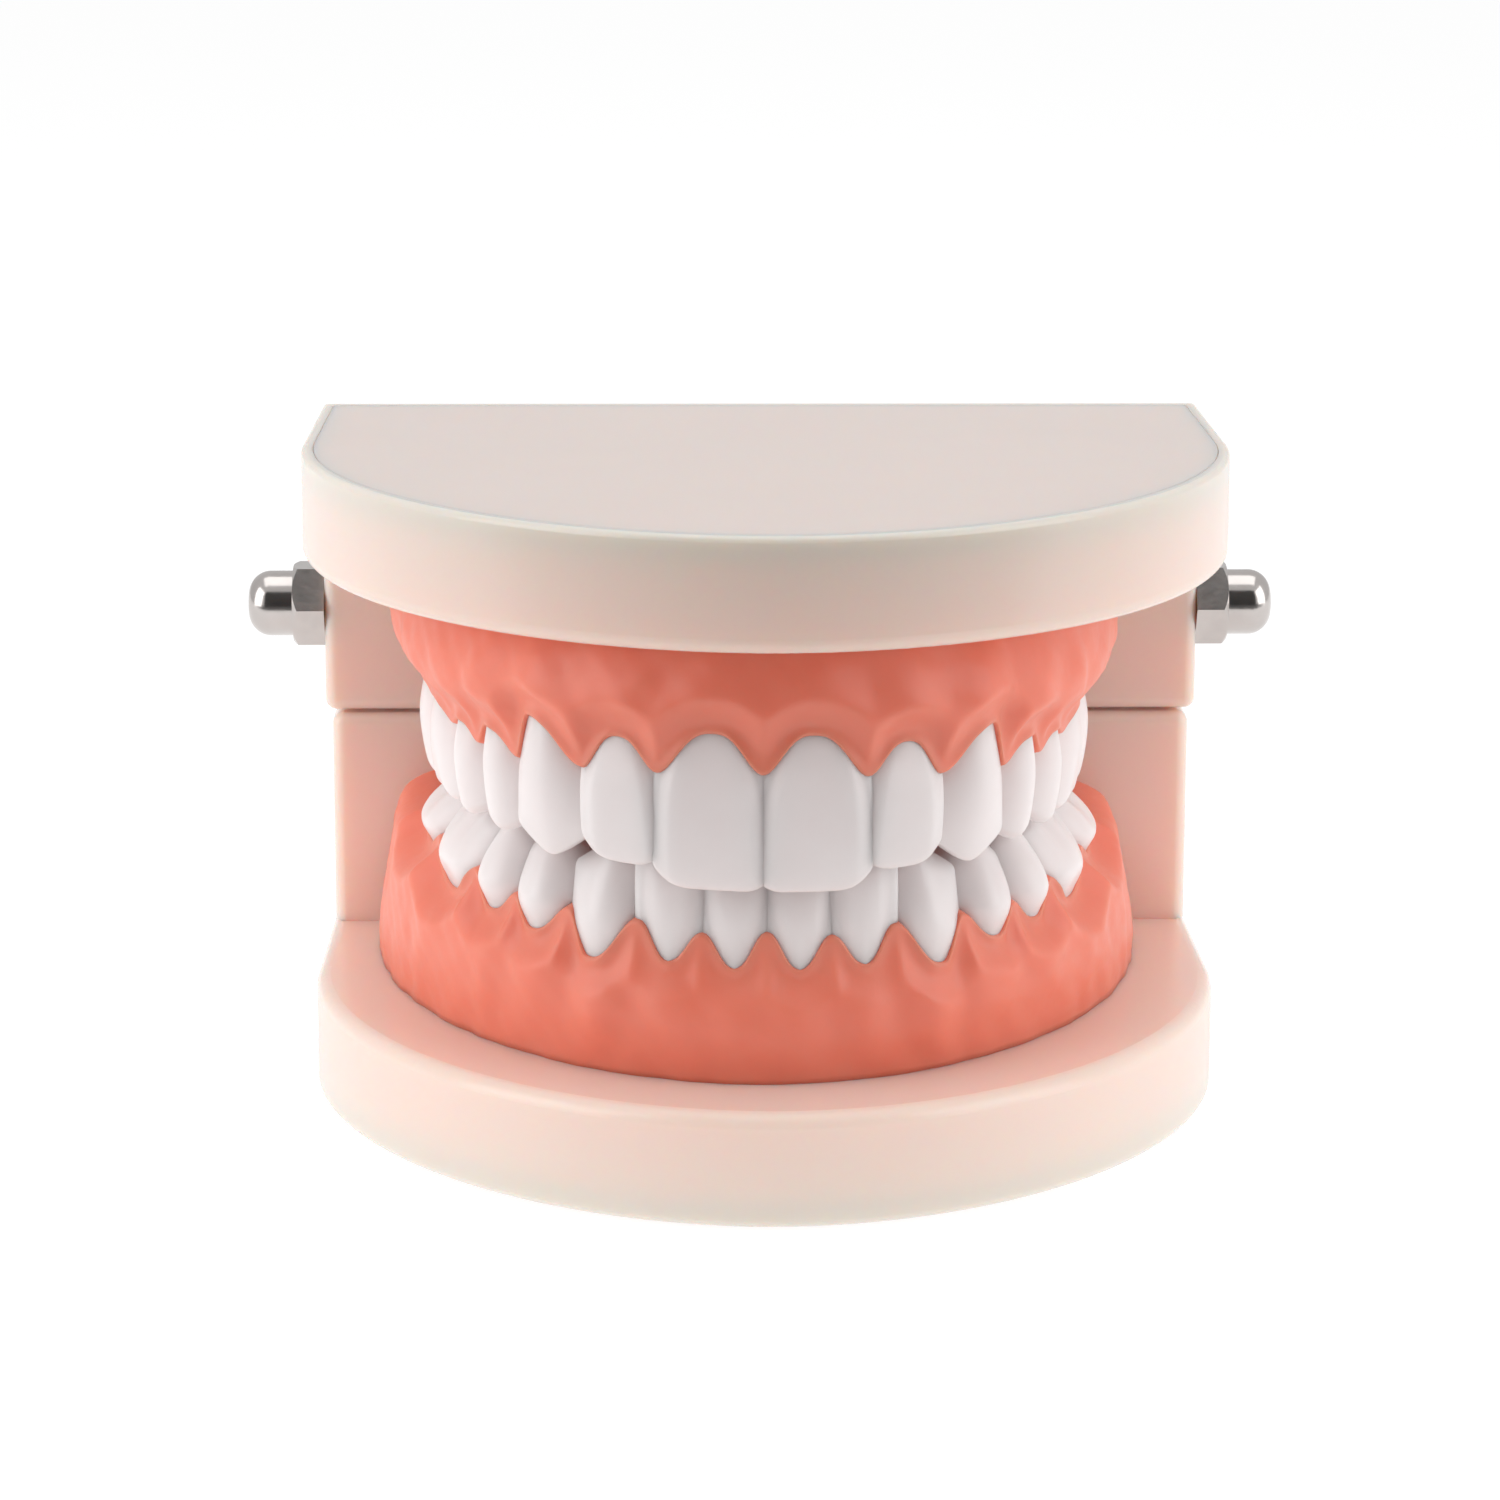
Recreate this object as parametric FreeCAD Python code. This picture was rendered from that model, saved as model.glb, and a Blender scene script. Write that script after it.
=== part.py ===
"""Hinged two-jaw dental teaching model, in millimetres, +Z up.

The origin is on the bottom face of the lower base, under the middle of the plates. The teeth face -Y and the
hinge wall is at +Y. Left and right are the mouth's own sides, so the right side is at -X.
Each sub-part is written to parts/NODE.step.
"""
import FreeCAD, Part
import math
import os
from FreeCAD import Vector

# ---- bases: two D-shaped shells, each with a rear wall ----
HEIGHT = 56.0                # closed model, bottom face to top face
PLATE_DEPTH = 69.0           # front of the plate to its straight rear edge
PLATE_THICKNESS = 9.4
PLATE_FRONT_POWER = 1.9      # superellipse exponent of the rounded front
FLANK_LENGTH = 23.0          # straight side behind the rounded front
UPPER_HALF_WIDTH = 40.0
LOWER_HALF_WIDTH = 39.4
REAR_NARROWING = 0.3         # the flanks close in by this much at the rear corners
RIM_FILLET = 0.5             # outer rim of each cover face
INNER_RIM_FILLET = 1.2       # rim of each face that carries a gum
COVER_INSET = 1.0            # from the plate's outline to the seam of its cover
COVER_THICKNESS = 1.6
COVER_GAP = 0.06
SHELL_WALL = 3.2             # outline to cavity, so a ledge carries the cover
FLOOR_THICKNESS = 2.6        # of the shell, under each gum
WALL_THICKNESS = 7.3         # rear wall, front face to back face
WALL_SIDE_INSET = 0.25       # rear wall's side, in from the plate's rear corner
WALL_FILLET = 1.0
SEAM_Z = 28.9
SEAM_GAP = 0.3

# ---- hinge: a tongue on the lower wall in a slot of the upper wall, on one rod ----
HINGE_Z = 38.3
ROD_RADIUS = 2.0
ROD_END_CHAMFER = 0.4
NUT_BORE_CLEARANCE = 0.02
CHEEK_CLEARANCE = 0.03
TONGUE_CLEARANCE = 0.06
TONGUE_HALF_WIDTH = 12.7
SLOT_HALF_WIDTH = 13.0
SLOT_TOP_ABOVE_AXIS = 4.9    # the web over the slot meets the tongue's back at full opening
CHEEK_REAR_RADIUS = 3.0      # rear lower edge of the upper wall, clears the lower wall while it turns
NUT_ACROSS_FLATS = 7.0
NUT_HEX_HEIGHT = 2.9
NUT_CHAMFER_ANGLE = 25.0
NUT_DOME_RADIUS = 2.95
NUT_LENGTH = 7.0
NUT_BORE_DEPTH = 4.9
NUT_EDGE_ROUND = 0.9         # corner radius of the dome's end is the dome radius less this

# ---- gum screws, driven from inside each shell before its cover goes on ----
SCREW_SHANK_RADIUS = 1.3
SCREW_TIP_LENGTH = 1.6
SCREW_BITE = 6.0             # length in the gum
SCREW_HEAD_RADIUS = 2.6
SCREW_HEAD_HEIGHT = 1.7
SCREW_RECESS_WIDTH = 0.7
SCREW_RECESS_REACH = 1.5
SCREW_RECESS_DEPTH = 0.9
SCREW_HOLE_RADIUS = 1.6      # clearance hole in the shell's floor
UPPER_SCREW_PLACES = ((-25.0, 19.0), (25.0, 19.0), (0.0, -17.5))
LOWER_SCREW_PLACES = ((-26.0, 18.5), (26.0, 18.5), (0.0, -19.5))

# ---- dental arches: the line along the front of the crowns ----
ARCH_SHIFT_X = -0.55         # the moulded arches sit this far off the plates' middle
ARCH_ROLL = math.tan(math.radians(1.1))    # and drop this much per millimetre towards +X
ARCH_REAR_Y = 20.0           # where the superellipse is widest
UPPER_ARCH = {"half_width": 29.5, "front_y": -28.0, "power": 2.3}
LOWER_ARCH = {"half_width": 29.8, "front_y": -25.5, "power": 2.38}
CONTACT_GAP = 0.03           # half of the gap between neighbouring crowns

KINDS = ("central_incisor", "lateral_incisor", "canine", "first_premolar", "second_premolar",
         "first_molar", "second_molar")

# width along the arch, height of the gum line, height of the tip, thickness front to back
UPPER_TEETH = {
    "central_incisor": (8.7, 38.75, 26.0, 6.6),
    "lateral_incisor": (6.5, 37.85, 27.5, 5.9),
    "canine": (7.9, 38.3, 26.9, 7.6),
    "first_premolar": (7.1, 36.1, 27.7, 9.0),
    "second_premolar": (6.7, 35.5, 27.75, 9.0),
    "first_molar": (9.9, 35.6, 27.7, 10.8),
    "second_molar": (9.2, 35.4, 27.75, 10.4),
}
LOWER_TEETH = {
    "central_incisor": (5.35, 18.9, 28.2, 5.6),
    "lateral_incisor": (5.4, 19.3, 28.2, 5.8),
    "canine": (6.7, 18.8, 28.3, 7.0),
    "first_premolar": (6.8, 20.0, 27.2, 7.4),
    "second_premolar": (6.8, 20.4, 27.3, 8.0),
    "first_molar": (11.2, 20.2, 27.3, 10.2),
    "second_molar": (10.0, 21.6, 27.3, 9.8),
}
ROOT_LENGTH = 6.0            # peg below the gum line
GROOVE_DEPTH = {"premolar": 1.4, "molar": 1.5}
GROOVE_HALF_ANGLE = 62.0     # of the fissure, from upright

# Profiles from the root's tip (-1) over the gum line (0) to the biting edge (1):
# (level, width share, front face set-back in mm, back face depth share)
INCISOR_PROFILE = ((-1.0, 0.40, 2.2, 0.75), (-0.45, 0.56, 1.2, 0.95), (0.0, 0.70, 0.7, 1.00),
                   (0.25, 0.85, 0.2, 0.90), (0.5, 0.95, 0.0, 0.68), (0.75, 1.00, 0.1, 0.47),
                   (0.93, 0.96, 0.45, 0.34), (1.0, 0.82, 0.8, 0.27))
LOWER_INCISOR_PROFILE = ((-1.0, 0.40, 1.6, 0.75), (-0.45, 0.50, 0.6, 0.95), (0.0, 0.58, 0.2, 1.00),
                         (0.25, 0.74, 0.0, 0.95), (0.5, 0.90, 0.2, 0.80), (0.75, 1.00, 0.6, 0.60),
                         (0.93, 1.00, 1.0, 0.48), (1.0, 0.93, 1.25, 0.43))
CANINE_PROFILE = ((-1.0, 0.40, 2.2, 0.75), (-0.45, 0.58, 1.1, 0.95), (0.0, 0.72, 0.5, 1.00),
                  (0.25, 0.88, 0.0, 0.95), (0.5, 0.99, 0.0, 0.78), (0.72, 0.96, 0.35, 0.56),
                  (0.9, 0.60, 0.9, 0.38), (1.0, 0.25, 1.3, 0.30))
LOWER_CANINE_PROFILE = ((-1.0, 0.40, 1.8, 0.75), (-0.45, 0.56, 0.6, 0.95), (0.0, 0.66, 0.2, 1.00),
                        (0.25, 0.82, 0.0, 0.98), (0.5, 0.98, 0.2, 0.90), (0.72, 1.00, 1.0, 0.78),
                        (0.9, 0.66, 2.0, 0.66), (1.0, 0.30, 2.6, 0.58))
PREMOLAR_PROFILE = ((-1.0, 0.45, 2.4, 0.75), (-0.45, 0.64, 1.1, 0.92), (0.0, 0.76, 0.5, 0.98),
                    (0.25, 0.92, 0.0, 1.00), (0.5, 1.00, 0.1, 1.00), (0.75, 0.97, 0.7, 0.97),
                    (0.92, 0.80, 1.5, 0.90), (1.0, 0.52, 2.2, 0.82))
MOLAR_PROFILE = ((-1.0, 0.55, 2.6, 0.75), (-0.45, 0.76, 1.1, 0.92), (0.0, 0.86, 0.5, 0.98),
                 (0.25, 0.96, 0.0, 1.00), (0.5, 1.00, 0.1, 1.00), (0.75, 0.99, 0.6, 0.97),
                 (0.92, 0.90, 1.3, 0.90), (1.0, 0.74, 2.0, 0.83))

# ---- gums: stacked outlines from the base to the crest ----
GUM_REAR_Y = 25.6
# (height, half width, front y, exponent, rise per mm towards the rear)
UPPER_GUM_OUTSIDE = ((46.6, 31.6, -27.6, 2.0, 0.0), (43.5, 32.2, -28.5, 2.1, 0.0),
                     (40.0, 31.8, -28.9, 2.2, 0.0), (37.6, 30.4, -28.1, 2.25, 0.0),
                     (35.8, 28.6, -25.9, 2.25, -0.01), (35.0, 26.6, -23.8, 2.25, -0.01))
UPPER_VAULT = ((34.6, 20.8, -18.4, 2.2, 0.0), (37.0, 18.6, -16.6, 2.1, 0.0),
               (40.0, 15.0, -12.5, 2.0, 0.0), (42.6, 9.0, -5.5, 2.0, 0.0))
LOWER_GUM_OUTSIDE = ((9.4, 34.0, -25.9, 1.9, 0.0), (12.5, 34.3, -26.6, 1.95, 0.0),
                     (17.0, 33.0, -26.4, 2.1, 0.01), (20.3, 30.6, -25.6, 2.25, 0.03),
                     (21.9, 28.6, -23.6, 2.3, 0.06), (22.5, 26.4, -21.8, 2.3, 0.07))
LOWER_TONGUE_SPACE = ((9.0, 14.5, -12.0, 1.9, 0.0), (14.0, 15.2, -13.0, 2.0, 0.0),
                      (19.0, 17.2, -15.4, 2.1, 0.02), (24.6, 20.2, -18.0, 2.1, 0.08))

REAR_Y = PLATE_DEPTH / 2
FRONT_Y = -PLATE_DEPTH / 2
WALL_FRONT_Y = REAR_Y - WALL_THICKNESS
HINGE_Y = REAR_Y - WALL_THICKNESS / 2
X_AXIS = Vector(1, 0, 0)


def spline(points, closed=False):
    """A smooth edge through the points."""
    curve = Part.BSplineCurve()
    curve.interpolate(Points=points, PeriodicFlag=closed)
    return curve.toShape()


def extrude(wire, height):
    return Part.Face(wire).extrude(Vector(0, 0, height))


def box(x0, x1, y0, y1, z0, z1):
    return Part.makeBox(x1 - x0, y1 - y0, z1 - z0, Vector(x0, y0, z0))


def cylinder_x(radius, x0, x1, y=HINGE_Y, z=HINGE_Z):
    return Part.makeCylinder(radius, x1 - x0, Vector(x0, y, z), X_AXIS)


def fillet(shape, radius, wanted):
    """Rounds the edges for which wanted(middle point, edge) is true."""
    edges = [e for e in shape.Edges if wanted(e.CenterOfMass, e)]
    return shape.makeFillet(radius, edges)


# ---------------------------------------------------------------- bases

def plate_wire(half_width, inset, z):
    """The D-shaped outline, set in by inset: a superellipse front, two flanks and a straight rear edge."""
    power = PLATE_FRONT_POWER
    centre_y = REAR_Y - FLANK_LENGTH
    reach = centre_y - FRONT_Y
    front = []
    steps = 24
    for k in range(steps + 1):
        angle = math.pi * k / steps
        c, s = math.cos(angle), math.sin(angle)
        x = half_width * math.copysign(abs(c) ** (2 / power), c)
        y = centre_y - reach * s ** (2 / power)
        normal = Vector(math.copysign(abs(x / half_width) ** (power - 1), x) / half_width,
                        -((centre_y - y) / reach) ** (power - 1) / reach, 0)
        normal.normalize()
        front.append(Vector(x, y, z) - normal * inset)
    corner = half_width - REAR_NARROWING - inset
    right_rear = Vector(corner, REAR_Y - inset, z)
    left_rear = Vector(-corner, REAR_Y - inset, z)
    edges = [spline(front), Part.makeLine(front[-1], left_rear), Part.makeLine(left_rear, right_rear),
             Part.makeLine(right_rear, front[0])]
    return Part.Wire(edges)


def rear_wall(half_width, z0, z1, free_z):
    """The rear wall, with its upright corners and its free edge rounded."""
    wall = box(-half_width, half_width, WALL_FRONT_Y, REAR_Y, z0, z1)

    def rounded(middle, edge):
        upright = abs(abs(middle.x) - half_width) < 1e-6 and edge.BoundBox.ZLength > 1
        free_edge = abs(middle.z - free_z) < 1e-6 and middle.y < REAR_Y - 1e-6
        return (upright and middle.y < REAR_Y - 1e-6) or free_edge

    return fillet(wall, WALL_FILLET, rounded)


def shell(half_width, z0, cover_side, screw_places):
    """A plate, hollow from its cover side, with a ledge for the cover and holes for the gum screws."""
    z1 = z0 + PLATE_THICKNESS
    plate = extrude(plate_wire(half_width, 0, z0), PLATE_THICKNESS)
    cover_z, gum_z = (z1, z0) if cover_side > 0 else (z0, z1)
    plate = fillet(plate, RIM_FILLET, lambda m, e: abs(m.z - cover_z) < 1e-6 and m.y < REAR_Y - 1)
    plate = fillet(plate, INNER_RIM_FILLET, lambda m, e: abs(m.z - gum_z) < 1e-6 and m.y < REAR_Y - 1)
    cavity_z0 = gum_z + FLOOR_THICKNESS if cover_side > 0 else z0 - 1
    cavity = extrude(plate_wire(half_width, SHELL_WALL, cavity_z0), PLATE_THICKNESS - FLOOR_THICKNESS + 1)
    ledge_z0 = cover_z - COVER_THICKNESS if cover_side > 0 else z0 - 1
    ledge = extrude(plate_wire(half_width, COVER_INSET, ledge_z0), COVER_THICKNESS + 1)
    plate = plate.cut(cavity).cut(ledge)
    for x, y in screw_places:
        plate = plate.cut(Part.makeCylinder(SCREW_HOLE_RADIUS, PLATE_THICKNESS, Vector(x, y, z0)))
    return plate


def cover(half_width, z0):
    """The flat lid that closes a shell."""
    return extrude(plate_wire(half_width, COVER_INSET + COVER_GAP, z0), COVER_THICKNESS)


def upper_base():
    z0 = HEIGHT - PLATE_THICKNESS
    bottom = SEAM_Z + SEAM_GAP / 2
    half = UPPER_HALF_WIDTH - REAR_NARROWING - WALL_SIDE_INSET
    wall = rear_wall(half, bottom, z0, bottom)
    wall = fillet(wall, CHEEK_REAR_RADIUS,
                  lambda m, e: abs(m.z - bottom) < 1e-6 and abs(m.y - REAR_Y) < 1e-6)
    slot = box(-SLOT_HALF_WIDTH, SLOT_HALF_WIDTH, WALL_FRONT_Y - 1, REAR_Y + 1,
               bottom - 1, HINGE_Z + SLOT_TOP_ABOVE_AXIS)
    bore = cylinder_x(ROD_RADIUS + CHEEK_CLEARANCE, -half - 1, half + 1)
    wall = wall.cut(slot).cut(bore)
    return shell(UPPER_HALF_WIDTH, z0, 1, UPPER_SCREW_PLACES).fuse(wall).removeSplitter()


def lower_base():
    top = SEAM_Z - SEAM_GAP / 2
    half = LOWER_HALF_WIDTH - REAR_NARROWING - WALL_SIDE_INSET
    wall = rear_wall(half, PLATE_THICKNESS, top, top)
    radius = WALL_THICKNESS / 2
    tongue = box(-TONGUE_HALF_WIDTH, TONGUE_HALF_WIDTH, WALL_FRONT_Y, REAR_Y, top - 3, HINGE_Z)
    tongue = tongue.fuse(cylinder_x(radius, -TONGUE_HALF_WIDTH, TONGUE_HALF_WIDTH))
    bore = cylinder_x(ROD_RADIUS + TONGUE_CLEARANCE, -TONGUE_HALF_WIDTH - 1, TONGUE_HALF_WIDTH + 1)
    plate = shell(LOWER_HALF_WIDTH, 0, -1, LOWER_SCREW_PLACES)
    return plate.fuse([wall, tongue]).cut(bore).removeSplitter()


# ---------------------------------------------------------------- hinge

def wall_side_x():
    return UPPER_HALF_WIDTH - REAR_NARROWING - WALL_SIDE_INSET


def hinge_rod():
    reach = wall_side_x() + NUT_BORE_DEPTH - 0.2
    rod = cylinder_x(ROD_RADIUS, -reach, reach)
    return rod.makeChamfer(ROD_END_CHAMFER, [e for e in rod.Edges if abs(abs(e.CenterOfMass.x) - reach) < 1e-6])


def acorn_nut(side):
    """A domed cap nut, its hexagon against the wall and two flats level."""
    corner = NUT_ACROSS_FLATS / 2 / math.cos(math.pi / 6)
    hexagon = [Vector(0, corner * math.cos(math.pi * k / 3), corner * math.sin(math.pi * k / 3)) for k in range(7)]
    prism = Part.Face(Part.makePolygon(hexagon)).extrude(Vector(NUT_HEX_HEIGHT, 0, 0))
    drop = (corner - NUT_ACROSS_FLATS / 2) * math.tan(math.radians(NUT_CHAMFER_ANGLE)) + 0.25
    cone = Part.makeCone(corner + NUT_HEX_HEIGHT * 1.2, NUT_ACROSS_FLATS / 2, NUT_HEX_HEIGHT + drop,
                         Vector(-drop, 0, 0), X_AXIS)
    prism = prism.common(cone)
    end_radius = NUT_DOME_RADIUS - NUT_EDGE_ROUND
    dome = Part.makeCylinder(NUT_DOME_RADIUS, NUT_LENGTH, Vector(0, 0, 0), X_AXIS)
    dome = dome.makeFillet(end_radius, [e for e in dome.Edges if e.CenterOfMass.x > NUT_LENGTH - 1e-6])
    bore = Part.makeCylinder(ROD_RADIUS + NUT_BORE_CLEARANCE, NUT_BORE_DEPTH, Vector(0, 0, 0), X_AXIS)
    nut = prism.fuse(dome).cut(bore).removeSplitter()
    if side < 0:
        nut.rotate(Vector(0, 0, 0), Vector(0, 0, 1), 180)
    nut.translate(Vector(side * wall_side_x(), HINGE_Y, HINGE_Z))
    return nut


# ---------------------------------------------------------------- screws

def gum_screw():
    """A pan-head self-tapping screw: head down at -Z, tip up, its seat at z 0."""
    length = FLOOR_THICKNESS + SCREW_BITE
    shank = Part.makeCylinder(SCREW_SHANK_RADIUS, length - SCREW_TIP_LENGTH)
    tip = Part.makeCone(SCREW_SHANK_RADIUS, 0.3, SCREW_TIP_LENGTH, Vector(0, 0, length - SCREW_TIP_LENGTH))
    head = Part.makeCylinder(SCREW_HEAD_RADIUS, SCREW_HEAD_HEIGHT, Vector(0, 0, -SCREW_HEAD_HEIGHT))
    head = head.makeFillet(0.8, [e for e in head.Edges if e.CenterOfMass.z < -SCREW_HEAD_HEIGHT + 1e-6])
    half = SCREW_RECESS_WIDTH / 2
    top = -SCREW_HEAD_HEIGHT + SCREW_RECESS_DEPTH
    cross = box(-SCREW_RECESS_REACH, SCREW_RECESS_REACH, -half, half, -SCREW_HEAD_HEIGHT - 1, top)
    cross = cross.fuse(box(-half, half, -SCREW_RECESS_REACH, SCREW_RECESS_REACH, -SCREW_HEAD_HEIGHT - 1, top))
    return shank.fuse([tip, head]).cut(cross).removeSplitter()


def gum_screws(places, seat_z, direction):
    """One group of screws, their seats at seat_z and their tips pointing up (1) or down (-1)."""
    screws = []
    for x, y in places:
        screw = gum_screw()
        if direction < 0:
            screw.rotate(Vector(0, 0, 0), X_AXIS, 180)
        screw.translate(Vector(x, y, seat_z))
        screws.append(screw)
    return Part.makeCompound(screws)


# ---------------------------------------------------------------- arches and teeth

def roll(x):
    """How far the arch stands above its mean height at this x."""
    return -(x - ARCH_SHIFT_X) * ARCH_ROLL


def arch_points(arch, steps=400):
    """The arch line from its middle to its rear end at +X, with the length along it."""
    depth = ARCH_REAR_Y - arch["front_y"]
    points = []
    length = 0.0
    for k in range(steps + 1):
        angle = math.pi / 2 * k / steps
        x = arch["half_width"] * math.sin(angle) ** (2 / arch["power"])
        y = ARCH_REAR_Y - depth * math.cos(angle) ** (2 / arch["power"])
        if points:
            length += math.hypot(x - points[-1][1], y - points[-1][2])
        points.append((length, x, y))
    return points


def on_arch(points, length):
    """The place at this length along the arch, with its tangent towards the rear and its outward normal."""
    for (s0, x0, y0), (s1, x1, y1) in zip(points, points[1:]):
        if s1 >= length:
            share = (length - s0) / (s1 - s0)
            tangent = Vector(x1 - x0, y1 - y0, 0)
            tangent.normalize()
            return Vector(x0 + share * (x1 - x0), y0 + share * (y1 - y0), 0), tangent, Vector(tangent.y, -tangent.x, 0)


def profile_of(kind, upper):
    if "incisor" in kind:
        return INCISOR_PROFILE if upper else LOWER_INCISOR_PROFILE
    if kind == "canine":
        return CANINE_PROFILE if upper else LOWER_CANINE_PROFILE
    return PREMOLAR_PROFILE if "premolar" in kind else MOLAR_PROFILE


def shape_of(kind):
    """(exponent of the cross-section, narrowing towards the tongue) of a tooth."""
    if "incisor" in kind:
        return 2.6, 0.26
    if kind == "canine":
        return 2.2, 0.26
    return (2.4, 0.12) if "premolar" in kind else (3.0, 0.06)


def section(width, front, back, power, narrowing, z):
    """A closed cross-section in the tooth's own frame: x along the arch, y from the arch line to the tongue."""
    points = []
    steps = 16
    half_depth = (back - front) / 2
    middle = (front + back) / 2
    for k in range(steps):
        angle = 2 * math.pi * k / steps
        c, s = math.cos(angle), math.sin(angle)
        across = math.copysign(abs(c) ** (2 / power), c)
        outward = math.copysign(abs(s) ** (2 / power), s)
        points.append(Vector(width / 2 * across * (1 + narrowing * outward), middle - half_depth * outward, z))
    return Part.Wire([spline(points, closed=True)])


def fissures(kind, width, thickness, tip, sign):
    """The V-shaped grooves that part the cusps of a premolar or molar."""
    molar = kind.endswith("_molar")
    depth = GROOVE_DEPTH["molar" if molar else "premolar"]
    spread = depth * math.tan(math.radians(GROOVE_HALF_ANGLE))
    floor, top = tip - sign * depth, tip + sign * 0.6
    over = spread * (depth + 0.6) / depth

    def wedge(length):
        v = [Vector(-length, 0, floor), Vector(-length, over, top), Vector(-length, -over, top)]
        return Part.Face(Part.makePolygon(v + v[:1])).extrude(Vector(2 * length, 0, 0))

    along = wedge(width)
    along.translate(Vector(0, thickness * 0.52, 0))
    cuts = [along]
    if molar:
        cross = wedge(thickness)
        cross.rotate(Vector(0, 0, 0), Vector(0, 0, 1), 90)
        cross.translate(Vector(0, thickness / 2, sign * 0.45))
        cuts.append(cross)
    return cuts


def tooth(kind, upper, arch_line, start):
    """One tooth on the +X side: a crown and its root peg, trimmed flat where it touches its neighbours."""
    width, gum_line, tip, thickness = (UPPER_TEETH if upper else LOWER_TEETH)[kind]
    sign = -1 if upper else 1
    power, narrowing = shape_of(kind)
    wires = []
    for level, share, front, back in profile_of(kind, upper):
        z = gum_line - sign * ROOT_LENGTH * -level if level < 0 else gum_line + (tip - gum_line) * level
        wires.append(section(width * share * 1.04, front, thickness * back, power, narrowing, z))
    crown = Part.makeLoft(wires, True, True)
    if kind.endswith("molar"):
        for groove in fissures(kind, width, thickness, tip, sign):
            crown = crown.cut(groove)
    place, tangent, normal = on_arch(arch_line, start + width / 2)
    turn = math.degrees(math.atan2(tangent.y, tangent.x))
    crown.rotate(Vector(0, 0, 0), Vector(0, 0, 1), turn)
    crown.translate(place)
    ends = []
    for length, inwards in ((start, 1), (start + width, -1)):
        p, t, n = on_arch(arch_line, length)
        p = p + t * CONTACT_GAP * inwards
        ends.append((p + n * 3, p - n * 12))
    trim = Part.makePolygon([ends[0][0], ends[0][1], ends[1][1], ends[1][0], ends[0][0]])
    trim = Part.Face(trim).extrude(Vector(0, 0, HEIGHT))
    return crown.common(trim), place.x


def teeth(upper):
    """All fourteen teeth of a jaw by name."""
    arch_line = arch_points(UPPER_ARCH if upper else LOWER_ARCH)
    jaw = "upper" if upper else "lower"
    made = {}
    start = 0.0
    for kind in KINDS:
        solid, x = tooth(kind, upper, arch_line, start)
        start += (UPPER_TEETH if upper else LOWER_TEETH)[kind][0]
        for side, sign in (("left", 1), ("right", -1)):
            copy = solid if sign > 0 else solid.mirror(Vector(0, 0, 0), X_AXIS)
            copy = copy.copy()
            copy.translate(Vector(ARCH_SHIFT_X, 0, roll(ARCH_SHIFT_X + sign * x)))
            made[f"{jaw}_{side}_{kind}"] = copy
    return made


# ---------------------------------------------------------------- gums

def gum_wire(level):
    """One D-shaped outline of a gum, in a plane that may rise towards the rear and rolls with the arch."""
    z, half_width, front_y, power, rise = level
    depth = ARCH_REAR_Y - front_y
    on_plate = z in (UPPER_GUM_OUTSIDE[0][0], LOWER_GUM_OUTSIDE[0][0])
    rolls = 0.0 if on_plate else ARCH_ROLL

    def placed(x, y):
        return Vector(x + ARCH_SHIFT_X, y, z + rise * (y - front_y) - x * rolls)

    front = []
    steps = 16
    for k in range(steps + 1):
        angle = math.pi * k / steps
        c, s = math.cos(angle), math.sin(angle)
        front.append(placed(half_width * math.copysign(abs(c) ** (2 / power), c),
                            ARCH_REAR_Y - depth * s ** (2 / power)))
    left, right = placed(-half_width, GUM_REAR_Y), placed(half_width, GUM_REAR_Y)
    return Part.Wire([spline(front), Part.makeLine(front[-1], left), Part.makeLine(left, right),
                      Part.makeLine(right, front[0])])


def stacked(levels):
    return Part.makeLoft([gum_wire(level) for level in levels], True, True)


def extended_rear(levels):
    """The same outlines for a hollow, so that it runs out through the gum's rear face."""
    hollow = stacked(levels)
    rear = hollow.copy()
    rear.translate(Vector(0, 1.0, 0))
    return hollow.fuse(rear)


def gum(outside, hollow, jaw_teeth, screws):
    body = stacked(outside).cut(extended_rear(hollow))
    for solid in jaw_teeth.values():
        body = body.cut(solid)
    return body.cut(screws)


def main():
    os.makedirs("parts", exist_ok=True)
    upper_teeth, lower_teeth = teeth(True), teeth(False)
    upper_seat = HEIGHT - PLATE_THICKNESS + FLOOR_THICKNESS
    lower_seat = PLATE_THICKNESS - FLOOR_THICKNESS
    upper_screws = gum_screws(UPPER_SCREW_PLACES, upper_seat, -1)
    lower_screws = gum_screws(LOWER_SCREW_PLACES, lower_seat, 1)
    nodes = {
        "lower_base": lower_base(),
        "lower_cover": cover(LOWER_HALF_WIDTH, 0.0),
        "lower_gum": gum(LOWER_GUM_OUTSIDE, LOWER_TONGUE_SPACE, lower_teeth, lower_screws),
        "lower_gum_screws": lower_screws,
        "upper_base": upper_base(),
        "upper_cover": cover(UPPER_HALF_WIDTH, HEIGHT - COVER_THICKNESS),
        "upper_gum": gum(UPPER_GUM_OUTSIDE, UPPER_VAULT, upper_teeth, upper_screws),
        "upper_gum_screws": upper_screws,
        "hinge_rod": hinge_rod(),
        "left_acorn_nut": acorn_nut(1),
        "right_acorn_nut": acorn_nut(-1),
    }
    nodes.update(upper_teeth)
    nodes.update(lower_teeth)
    for name, shape in nodes.items():
        bad = [] if shape.isValid() else ["not valid"]
        print(name, len(shape.Solids), "solids", round(shape.Volume, 1), "mm3", *bad)
        shape.exportStep(f"parts/{name}.step")


if __name__ == "__main__":
    main()
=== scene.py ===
"""The look of the hinged two-jaw teaching model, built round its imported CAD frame.

Blender's units are metres; the shapes here are worked out in millimetres and scaled when their meshes are
made. The teeth face -Y, +Z is up, and the right side of the mouth is at -X.
"""
import math
import bpy
import numpy as np
from mathutils import Matrix, Vector
from mathutils.bvhtree import BVHTree


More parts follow.
